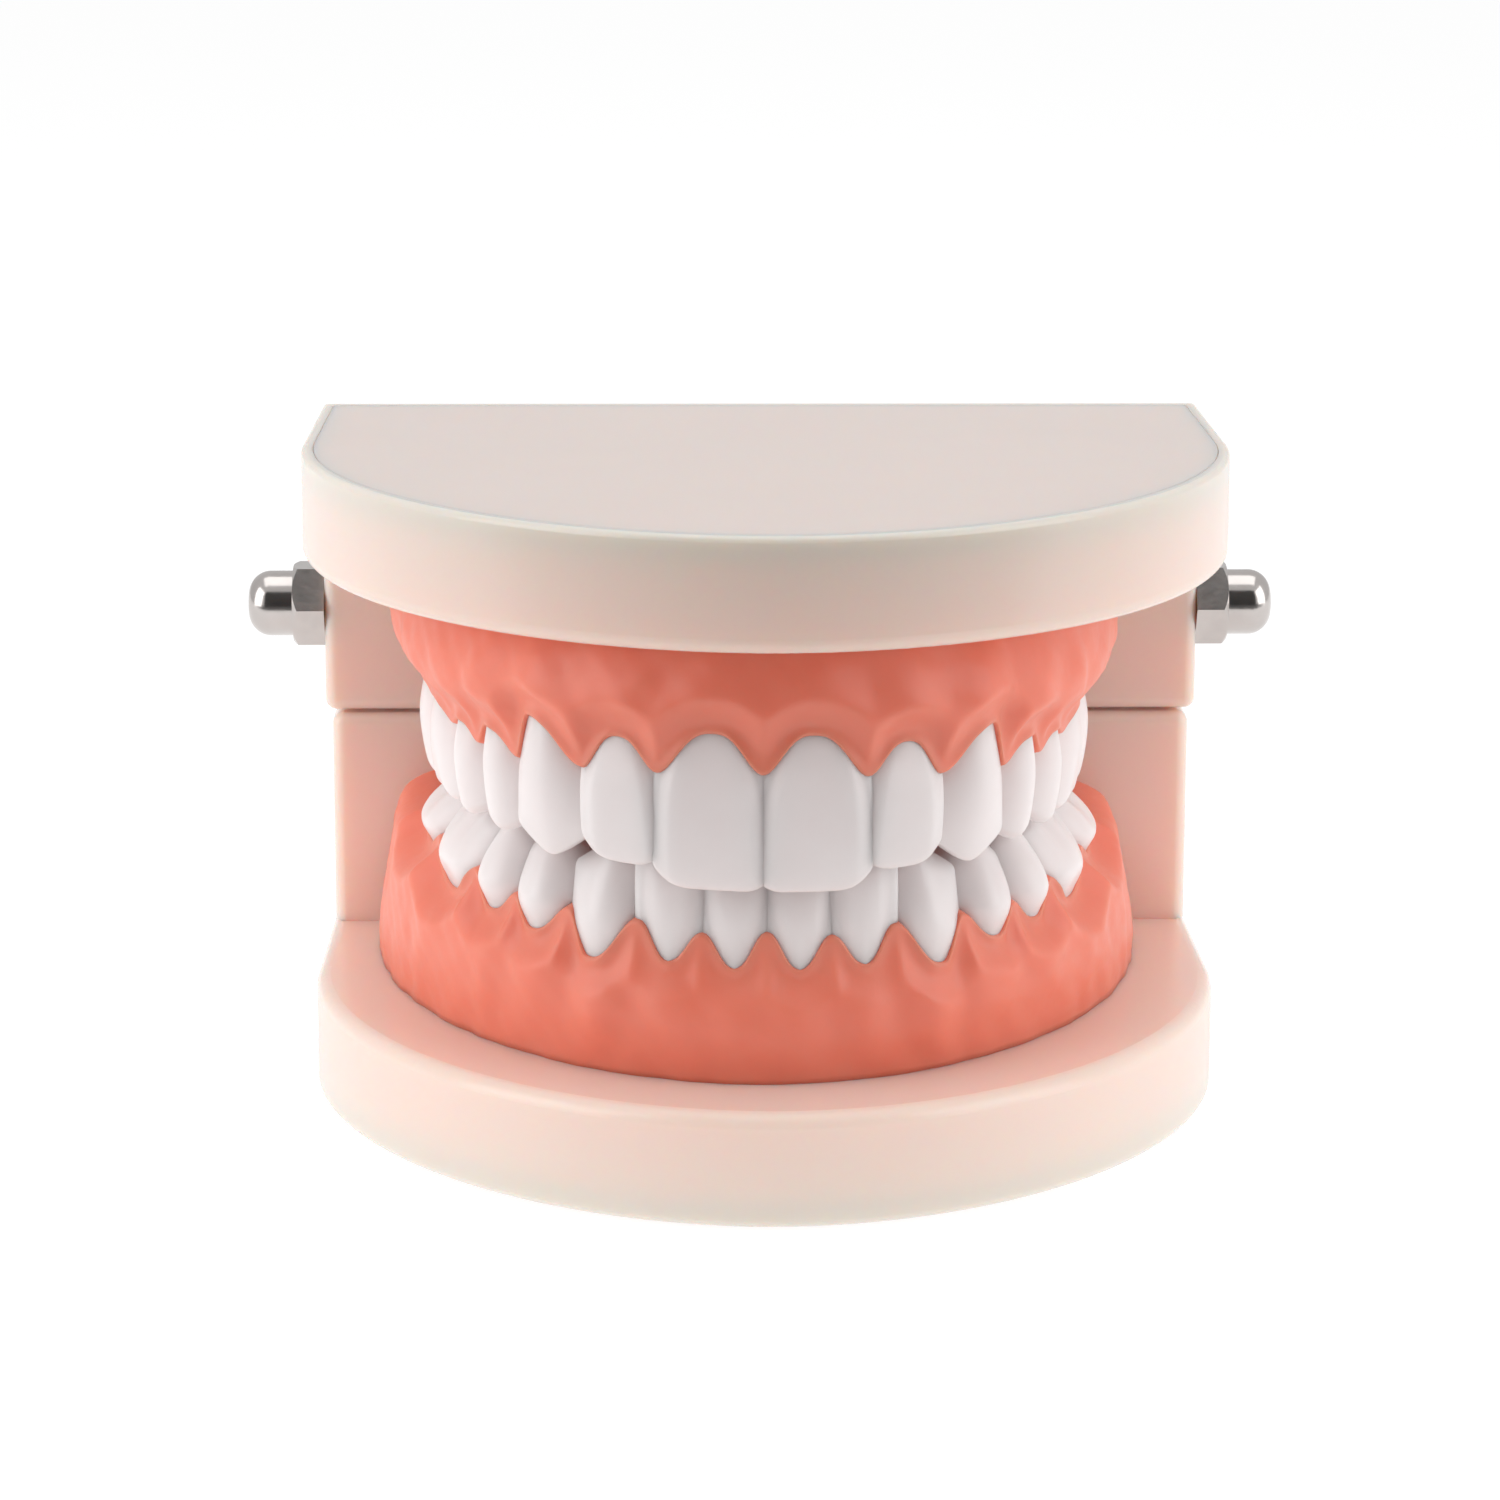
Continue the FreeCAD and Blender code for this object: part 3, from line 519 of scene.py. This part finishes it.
def blurred(values, steps):
    """A copy smoothed along the arch by a short moving average, twice."""
    kernel = np.ones(2 * steps + 1) / (2 * steps + 1)
    pad = np.pad(values, ((steps, steps), (0, 0)), mode="edge")
    return np.apply_along_axis(lambda col: np.convolve(col, kernel, mode="valid"), 0, pad)


def envelope(values, s, reach):
    """The height of the teeth's outer faces with the valleys between them bridged."""
    step = s[1] - s[0]
    span = int(round(reach / step))
    padded = np.pad(values, ((span, span), (0, 0)), mode="edge")
    highest = np.max([padded[k:k + len(values)] for k in range(2 * span + 1)], axis=0)
    return blurred(highest, max(1, span // 2))


def from_margin(s, z, edge):
    """Distance of each gum point from the scalloped edge, measured along the gum's face."""
    nearest = np.full(z.shape, 99.0)
    for place, height in zip(s, edge):
        nearest = np.minimum(nearest, np.hypot(s[:, None] - place, z - height))
    return nearest


def lumps(x, y, z, scale, seed):
    """Gentle uneven swelling between -1 and 1, the same each run."""
    a, b, c = x * scale + seed, y * scale + seed * 1.7, z * scale * 1.3 + seed * 0.6
    return (np.sin(a * 1.9 + 1.3 * np.sin(b * 1.1)) * np.cos(b * 1.7 + c * 0.8)
            + 0.5 * np.sin(c * 2.9 + a * 2.3) * np.cos(b * 3.1 - a)) / 1.5


def quarter_round(reach, radius):
    """From 0 to 1 along a quarter circle, as reach grows to the radius."""
    return np.sqrt(np.clip(1 - (1 - np.clip(reach / radius, 0, 1)) ** 2, 0, 1))


def along_normal(columns, offset, z):
    """Points at an offset from the arch along its normal."""
    x, y, nx, ny = columns
    return np.stack([x + nx * offset, y + ny * offset, z + 0 * offset], axis=2)


def gum_edges(jaw, arch, s):
    """Heights of each column's outer and inner edge, and how far it is behind the last tooth, 0 to 1."""
    edge, teeth_end = margin_heights(jaw, s)
    inner_edge, _ = margin_heights(jaw, s, inner=True)
    last = smooth(teeth_end, arch.end, np.abs(s)) * GUMS[jaw["name"]]["rear_rise"]
    closing = jaw["crown"] * smooth(arch.end - 3.0, arch.end, np.abs(s)) * END_DROP
    behind = smooth(teeth_end - 0.8, teeth_end + 1.2, np.abs(s))[:, None]
    return edge + last - closing, inner_edge + last - closing, behind


def root_swelling(jaw, s, reach):
    """Swellings over the roots and furrows between them."""
    swell = np.zeros_like(reach)
    start = 0.0
    for kind in KINDS:
        width = jaw["teeth"][kind][0]
        centre = start + width / 2
        bump = np.exp(-(((np.abs(s) - centre) / (width * 0.30)) ** 2))[:, None]
        swell = swell + EMINENCE[kind] * bump * smooth(0, 2.5, reach) * (1 - smooth(4.5, 9.0, reach))
        furrow = np.exp(-(((np.abs(s) - start) / 1.1) ** 2))[:, None]
        swell = swell - FURROW_DEPTH * furrow * smooth(1.0, 3.0, reach) * (1 - smooth(4.0, 8.0, reach))
        start += width
    return swell


def outer_face(jaw, s, columns, edge, behind, tree):
    """The gum's outer face from the scalloped edge to its foot, as offsets along the normal and heights."""
    gum = GUMS[jaw["name"]]
    x, y, nx, ny = columns
    share = np.linspace(0, 1, FACE_ROWS)[None, :] ** 1.5
    z = edge[:, None] - jaw["crown"] * np.abs(gum["foot"] - edge)[:, None] * share
    reach = from_margin(s, z, edge)
    tooth = cast_teeth(tree, columns, z, True)
    tooth = blurred(np.where(np.isnan(tooth), OUTER_FLOOR, np.maximum(tooth, OUTER_FLOOR)), 1)
    base = outline_offset(gum["outside"], columns, z, 1)
    uneven = lumps(x + nx * base, y + ny * base, z, LUMP_SCALE, gum["lump_seed"])
    swell = root_swelling(jaw, s, reach) + LUMP_HEIGHT * uneven * smooth(0.5, 3, reach)
    rim = RIM_THICKNESS * quarter_round(reach, RIM_REACH)
    filled = np.maximum(tooth, envelope(tooth, s, VALLEY_BRIDGE) - VALLEY_DEPTH)
    ridge = RIDGE_OUTER + (base - RIDGE_OUTER) * quarter_round(reach, RIDGE_OUTER_ROUND)
    near = (blurred(filled, 3) + rim) * (1 - behind) + ridge * behind
    blend = smooth(0.3, 3.4, reach)
    offset = near * (1 - blend) + (base + swell) * blend
    return np.where(behind > 0.5, offset, np.maximum(offset, tooth + rim * 0.9)), z


def inner_face(jaw, columns, edge, behind, tree):
    """The gum's inner face from its edge to its foot, as offsets along the normal and heights."""
    gum = GUMS[jaw["name"]]
    share = np.linspace(0, 1, BACK_ROWS)[None, :] ** 1.3
    reach = np.abs(gum["inner_foot"] - edge)[:, None] * share
    z = edge[:, None] - jaw["crown"] * reach
    tooth = cast_teeth(tree, columns, z, False)
    tooth = blurred(np.where(np.isnan(tooth), INNER_FLOOR, np.minimum(tooth, INNER_LIMIT)), 2)
    base = outline_offset(gum["inside"], columns, z, -1)
    rim = RIM_THICKNESS * quarter_round(reach, RIM_REACH)
    ridge = RIDGE_INNER + (base - RIDGE_INNER) * quarter_round(reach, RIDGE_INNER_ROUND)
    near = (tooth - rim) * (1 - behind) + ridge * behind
    blend = smooth(0.5, 4.0, reach)
    offset = near * (1 - blend) + base * blend
    return np.where(behind > 0.5, offset, np.minimum(offset, tooth - rim * 0.9)), z


def palate(arch, s, back):
    """The upper gum's inner face with its rows carried on over the roof of the mouth to the midline."""
    reach_back = (GUM_REAR_Y - PALATE_FRONT_Y) * (np.abs(s) / arch.end) ** 1.6
    middle_y = np.clip(PALATE_FRONT_Y + reach_back, PALATE_FRONT_Y, GUM_REAR_Y)
    vault = VAULT_HEIGHT - VAULT_FALL * smooth(2.0, PALATE_FRONT_Y, middle_y)
    centre = np.stack([0 * s, middle_y, vault], axis=1)[:, None, :]
    low = back[:, PALATE_ROW:PALATE_ROW + 1, :]
    k = np.clip((np.arange(BACK_ROWS)[None, :, None] - PALATE_ROW) / (BACK_ROWS - 1 - PALATE_ROW), 0, 1)
    dome = low + (centre - low) * np.concatenate([k, k, np.sin(math.pi / 2 * k) ** 0.85], axis=2)
    x, y = dome[:, :, 0], dome[:, :, 1]
    folds = RUGA_HEIGHT * np.sin(y * 2.1 + 0.9 * np.sin(x * 0.6)) ** 3
    folds = folds * smooth(6.0, -2.0, y) * smooth(0.8, 2.5, np.abs(x)) * smooth(0.1, 0.4, k[:, :, 0])
    dome[:, :, 2] -= folds
    return np.where(k > 0, dome, back)


def gum_points(jaw, arch, tree):
    """The gum as columns along the arch, each a closed row of points, before its shift and roll."""
    s = np.linspace(-arch.end, arch.end, COLUMNS)
    columns = [a[:, None] for a in arch.frame(s)]
    edge, inner_edge, behind = gum_edges(jaw, arch, s)
    offset, z = outer_face(jaw, s, columns, edge, behind, tree)
    offset_in, z_in = inner_face(jaw, columns, inner_edge, behind, tree)
    face, back = along_normal(columns, offset, z), along_normal(columns, offset_in, z_in)
    if jaw is UPPER:
        back = palate(arch, s, back)
    sink = CREST_SINK - (CREST_SINK - REAR_SINK) * behind
    lift = jaw["crown"] * CREST_DIVE * (1 - behind)
    dive = along_normal(columns, offset[:, :1] - sink, z[:, :1] + lift)
    dive_in = along_normal(columns, offset_in[:, :1] + sink, z_in[:, :1] + lift)
    crest = dive + (dive_in - dive) * np.linspace(0, 1, CREST_ROWS)[None, :, None]
    rows = [face[:, ::-1], crest, back]
    if jaw is UPPER:
        top_middle = back[:, -1:, :].copy()
        top_middle[:, :, 2] = UPPER_GUM_TOP
        rows.append(top_middle)
    return np.concatenate(rows, axis=1)


def gum_piece(jaw, arch, tree, material):
    """The whole gum of a jaw as one closed mesh."""
    upper = jaw is UPPER
    columns = gum_points(jaw, arch, tree)
    count, rows = columns.shape[:2]
    points = columns.reshape(-1, 3)
    foot, fade = GUMS[jaw["name"]]["foot"], GUMS[jaw["name"]]["roll_fade"]
    points = tilt(jaw, points, smooth(foot, foot + jaw["crown"] * fade, points[:, 2]))
    faces = []
    for c in range(count - 1):
        a, b = c * rows, (c + 1) * rows
        for r in range(rows):
            n = (r + 1) % rows
            if upper and r == rows - 2:
                continue
            quad = (a + r, a + n, b + n, b + r)
            faces.append(quad if upper else quad[::-1])
    first, final = list(range(rows)), [(count - 1) * rows + r for r in range(rows)]
    faces.append(first[::-1] if upper else first)
    faces.append(final if upper else final[::-1])
    piece = make_mesh(f"{jaw['name']}_gum_skin", points, faces, material, UPPER_BODY if upper else LOWER_BODY)
    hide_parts(f"{jaw['name']}_gum")


# ---------------------------------------------------------------- materials

def new_material(name):
    material = bpy.data.materials.new(name)
    material.use_nodes = True
    tree = material.node_tree
    return material, tree, tree.nodes["Principled BSDF"]


def noise(tree, scale, detail=3.0, roughness=0.5):
    """A noise texture on object coordinates, which are metres here."""
    where = tree.nodes.new("ShaderNodeTexCoord")
    texture = tree.nodes.new("ShaderNodeTexNoise")
    texture.inputs["Scale"].default_value = scale
    texture.inputs["Detail"].default_value = detail
    texture.inputs["Roughness"].default_value = roughness
    tree.links.new(where.outputs["Object"], texture.inputs["Vector"])
    return texture


def ramp(tree, source, stops):
    """A colour ramp fed by a value."""
    node = tree.nodes.new("ShaderNodeValToRGB")
    elements = node.color_ramp.elements
    while len(elements) < len(stops):
        elements.new(0.5)
    for element, (position, colour) in zip(elements, stops):
        element.position = position
        element.color = (*colour, 1)
    tree.links.new(source, node.inputs["Fac"])
    return node


def bump(tree, shader, source, distance, strength):
    node = tree.nodes.new("ShaderNodeBump")
    node.inputs["Distance"].default_value = distance
    node.inputs["Strength"].default_value = strength
    tree.links.new(source, node.inputs["Height"])
    tree.links.new(node.outputs["Normal"], shader.inputs["Normal"])


def vary_roughness(tree, shader, source, low, high):
    node = tree.nodes.new("ShaderNodeMapRange")
    node.inputs["To Min"].default_value = low
    node.inputs["To Max"].default_value = high
    tree.links.new(source, node.inputs["Value"])
    tree.links.new(node.outputs["Result"], shader.inputs["Roughness"])


def base_plastic(name, colour, deeper):
    """Glossy beige injection-moulded plastic that lets a little warm light through."""
    material, tree, shader = new_material(name)
    cloud = noise(tree, 25.0, 2.0)
    tint = ramp(tree, cloud.outputs["Fac"], ((0.3, deeper), (0.7, colour)))
    tree.links.new(tint.outputs["Color"], shader.inputs["Base Color"])
    fine = noise(tree, 40.0, 2.0)
    vary_roughness(tree, shader, fine.outputs["Fac"], 0.18, 0.24)
    bump(tree, shader, noise(tree, 140.0, 2.0).outputs["Fac"], 0.00002, 0.08)
    shader.inputs["Subsurface Weight"].default_value = 0.9
    shader.inputs["Subsurface Radius"].default_value = (0.0030, 0.0018, 0.0013)
    shader.inputs["Subsurface Scale"].default_value = 1.0
    return material


def gum_plastic():
    """Satin coral plastic with faint blotches and a fine orange-peel surface."""
    material, tree, shader = new_material("gum_coral")
    cloud = noise(tree, 130.0, 4.0, 0.55)
    tint = ramp(tree, cloud.outputs["Fac"], ((0.25, (0.87, 0.218, 0.138)), (0.75, (0.91, 0.255, 0.170))))
    tree.links.new(tint.outputs["Color"], shader.inputs["Base Color"])
    fine = noise(tree, 1500.0, 2.0)
    vary_roughness(tree, shader, fine.outputs["Fac"], 0.36, 0.50)
    bump(tree, shader, noise(tree, 700.0, 3.0).outputs["Fac"], 0.00005, 0.5)
    shader.inputs["Subsurface Weight"].default_value = 0.5
    shader.inputs["Subsurface Radius"].default_value = (0.0028, 0.0010, 0.0007)
    shader.inputs["Subsurface Scale"].default_value = 1.0
    return material


def tooth_plastic():
    """White satin plastic with a faint cool cast."""
    material, tree, shader = new_material("tooth_white")
    cloud = noise(tree, 160.0, 3.0)
    tint = ramp(tree, cloud.outputs["Fac"], ((0.3, (0.875, 0.805, 0.80)), (0.7, (0.90, 0.835, 0.83))))
    tree.links.new(tint.outputs["Color"], shader.inputs["Base Color"])
    vary_roughness(tree, shader, noise(tree, 1100.0, 2.0).outputs["Fac"], 0.26, 0.38)
    bump(tree, shader, noise(tree, 450.0, 2.0).outputs["Fac"], 0.00002, 0.4)
    shader.inputs["Subsurface Weight"].default_value = 0.9
    shader.inputs["Subsurface Radius"].default_value = (0.0030, 0.0029, 0.0029)
    shader.inputs["Subsurface Scale"].default_value = 1.0
    return material


def nickel():
    """Polished nickel plate with faint turning marks."""
    material, tree, shader = new_material("nickel_plate")
    shader.inputs["Metallic"].default_value = 1.0
    cloud = noise(tree, 300.0, 3.0)
    tint = ramp(tree, cloud.outputs["Fac"], ((0.3, (0.55, 0.51, 0.49)), (0.7, (0.62, 0.58, 0.56))))
    tree.links.new(tint.outputs["Color"], shader.inputs["Base Color"])
    vary_roughness(tree, shader, noise(tree, 800.0, 4.0).outputs["Fac"], 0.12, 0.24)
    bump(tree, shader, noise(tree, 1800.0, 2.0).outputs["Fac"], 0.00001, 0.3)
    return material


def steel(name, value):
    """Plain drawn steel."""
    material, tree, shader = new_material(name)
    shader.inputs["Metallic"].default_value = 1.0
    cloud = noise(tree, 500.0, 3.0)
    tint = ramp(tree, cloud.outputs["Fac"], ((0.3, (value * 0.9,) * 3), (0.7, (value, value, value * 0.98))))
    tree.links.new(tint.outputs["Color"], shader.inputs["Base Color"])
    vary_roughness(tree, shader, noise(tree, 1500.0, 3.0).outputs["Fac"], 0.25, 0.42)
    return material


# ---------------------------------------------------------------- stage

CAMERA_AT = Vector((-9.17, -410.27, 123.31)) * MM
CAMERA_PAN, CAMERA_TILT, CAMERA_ROLL = 0.0187, 0.2203, 0.002
CAMERA_LENS = 118.4
FLOOR_FRONT = -0.10          # in front of this the floor is out of view, and darker
FLOOR_REACH = 6
FLAG_Y = -1.0                # a dark upright panel near the camera
LIGHT_AIM = Vector((0, 0, 0.03))


def add_camera():
    level = math.cos(CAMERA_TILT)
    forward = Vector((math.sin(CAMERA_PAN) * level, math.cos(CAMERA_PAN) * level, -math.sin(CAMERA_TILT)))
    right = Vector((math.cos(CAMERA_PAN), -math.sin(CAMERA_PAN), 0))
    up = right.cross(forward)
    right, up = (right * math.cos(CAMERA_ROLL) + up * math.sin(CAMERA_ROLL),
                 up * math.cos(CAMERA_ROLL) - right * math.sin(CAMERA_ROLL))
    data = bpy.data.cameras.new("camera")
    data.lens = CAMERA_LENS
    data.sensor_width = 36.0
    data.clip_start, data.clip_end = 0.01, 20.0
    camera = bpy.data.objects.new("camera", data)
    turn = Matrix((right, up, -forward)).transposed().to_4x4()
    camera.matrix_world = Matrix.Translation(CAMERA_AT) @ turn
    bpy.context.collection.objects.link(camera)
    bpy.context.scene.camera = camera


def soft_box(name, place, size, power):
    data = bpy.data.lights.new(name, "AREA")
    data.shape = "RECTANGLE"
    data.size, data.size_y = size
    data.energy = power
    lamp = bpy.data.objects.new(name, data)
    lamp.location = place
    lamp.rotation_mode = "QUATERNION"
    lamp.rotation_quaternion = (LIGHT_AIM - Vector(place)).to_track_quat("-Z", "Y")
    bpy.context.collection.objects.link(lamp)


def card(name, corners, colour, glow):
    """A matt four-cornered panel of the studio, with a glow that keeps a white one white."""
    mesh = bpy.data.meshes.new(name)
    mesh.from_pydata(corners, [], [(0, 1, 2, 3)])
    panel = bpy.data.objects.new(name, mesh)
    material, tree, shader = new_material(f"{name}_paper")
    shader.inputs["Base Color"].default_value = (colour, colour, colour, 1)
    shader.inputs["Roughness"].default_value = 0.9
    shader.inputs["Specular IOR Level"].default_value = 0.0
    shader.inputs["Emission Color"].default_value = (1, 1, 1, 1)
    shader.inputs["Emission Strength"].default_value = glow
    mesh.materials.append(material)
    bpy.context.collection.objects.link(panel)


def add_stage():
    level = cad_low.z - 0.0002
    for name, front, rear, colour, glow in (("floor", FLOOR_FRONT, FLOOR_REACH, 0.3, 0.78),
                                            ("front_floor", -FLOOR_REACH, FLOOR_FRONT, 0.12, 0.0)):
        card(name, [(-FLOOR_REACH, front, level), (FLOOR_REACH, front, level), (FLOOR_REACH, rear, level),
                    (-FLOOR_REACH, rear, level)], colour, glow)
    card("front_flag", [(-0.7, FLAG_Y, level), (0.7, FLAG_Y, level), (0.7, FLAG_Y, 1.3), (-0.7, FLAG_Y, 1.3)],
         0.08, 0.0)
    world = bpy.data.worlds.new("studio")
    world.use_nodes = True
    world.node_tree.nodes["Background"].inputs["Color"].default_value = (1, 1, 1, 1)
    world.node_tree.nodes["Background"].inputs["Strength"].default_value = 0.66
    bpy.context.scene.world = world
    bpy.context.scene.view_settings.view_transform = "Standard"
    soft_box("left_box", (-0.60, -0.22, 0.22), (0.5, 0.7), 2.3)
    soft_box("right_box", (0.60, -0.22, 0.22), (0.5, 0.7), 2.0)
    soft_box("top_box", (0.0, 0.1, 0.8), (0.8, 0.6), 1.6)


# ---------------------------------------------------------------- assembly

def paint(material, *nodes):
    for node in nodes:
        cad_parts[node].data.materials.clear()
        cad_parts[node].data.materials.append(material)


def build():
    add_camera()
    white, coral = tooth_plastic(), gum_plastic()
    shell = base_plastic("base_beige", (0.93, 0.735, 0.655), (0.92, 0.72, 0.64))
    cover = base_plastic("cover_beige", (0.80, 0.65, 0.60), (0.79, 0.64, 0.59))
    for jaw, body in ((UPPER, UPPER_BODY), (LOWER, LOWER_BODY)):
        arch = Arch(jaw)
        placed = place_teeth(jaw, arch)
        points, faces, first = [], [], 0
        for node, (verts, quads) in placed.items():
            piece = make_mesh(f"{node}_crown", tilt(jaw, verts), quads, white, body)
            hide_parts(node)
            points.extend(map(tuple, verts.tolist()))
            faces.extend([tuple(i + first for i in f) for f in quads])
            first += len(verts)
        gum_piece(jaw, arch, BVHTree.FromPolygons(points, faces), coral)
    paint(shell, "upper_base", "lower_base")
    paint(cover, "upper_cover", "lower_cover")
    paint(nickel(), "left_acorn_nut", "right_acorn_nut")
    paint(steel("rod_steel", 0.55), "hinge_rod")
    paint(steel("screw_steel", 0.6), "upper_gum_screws", "lower_gum_screws")
    add_stage()


build()
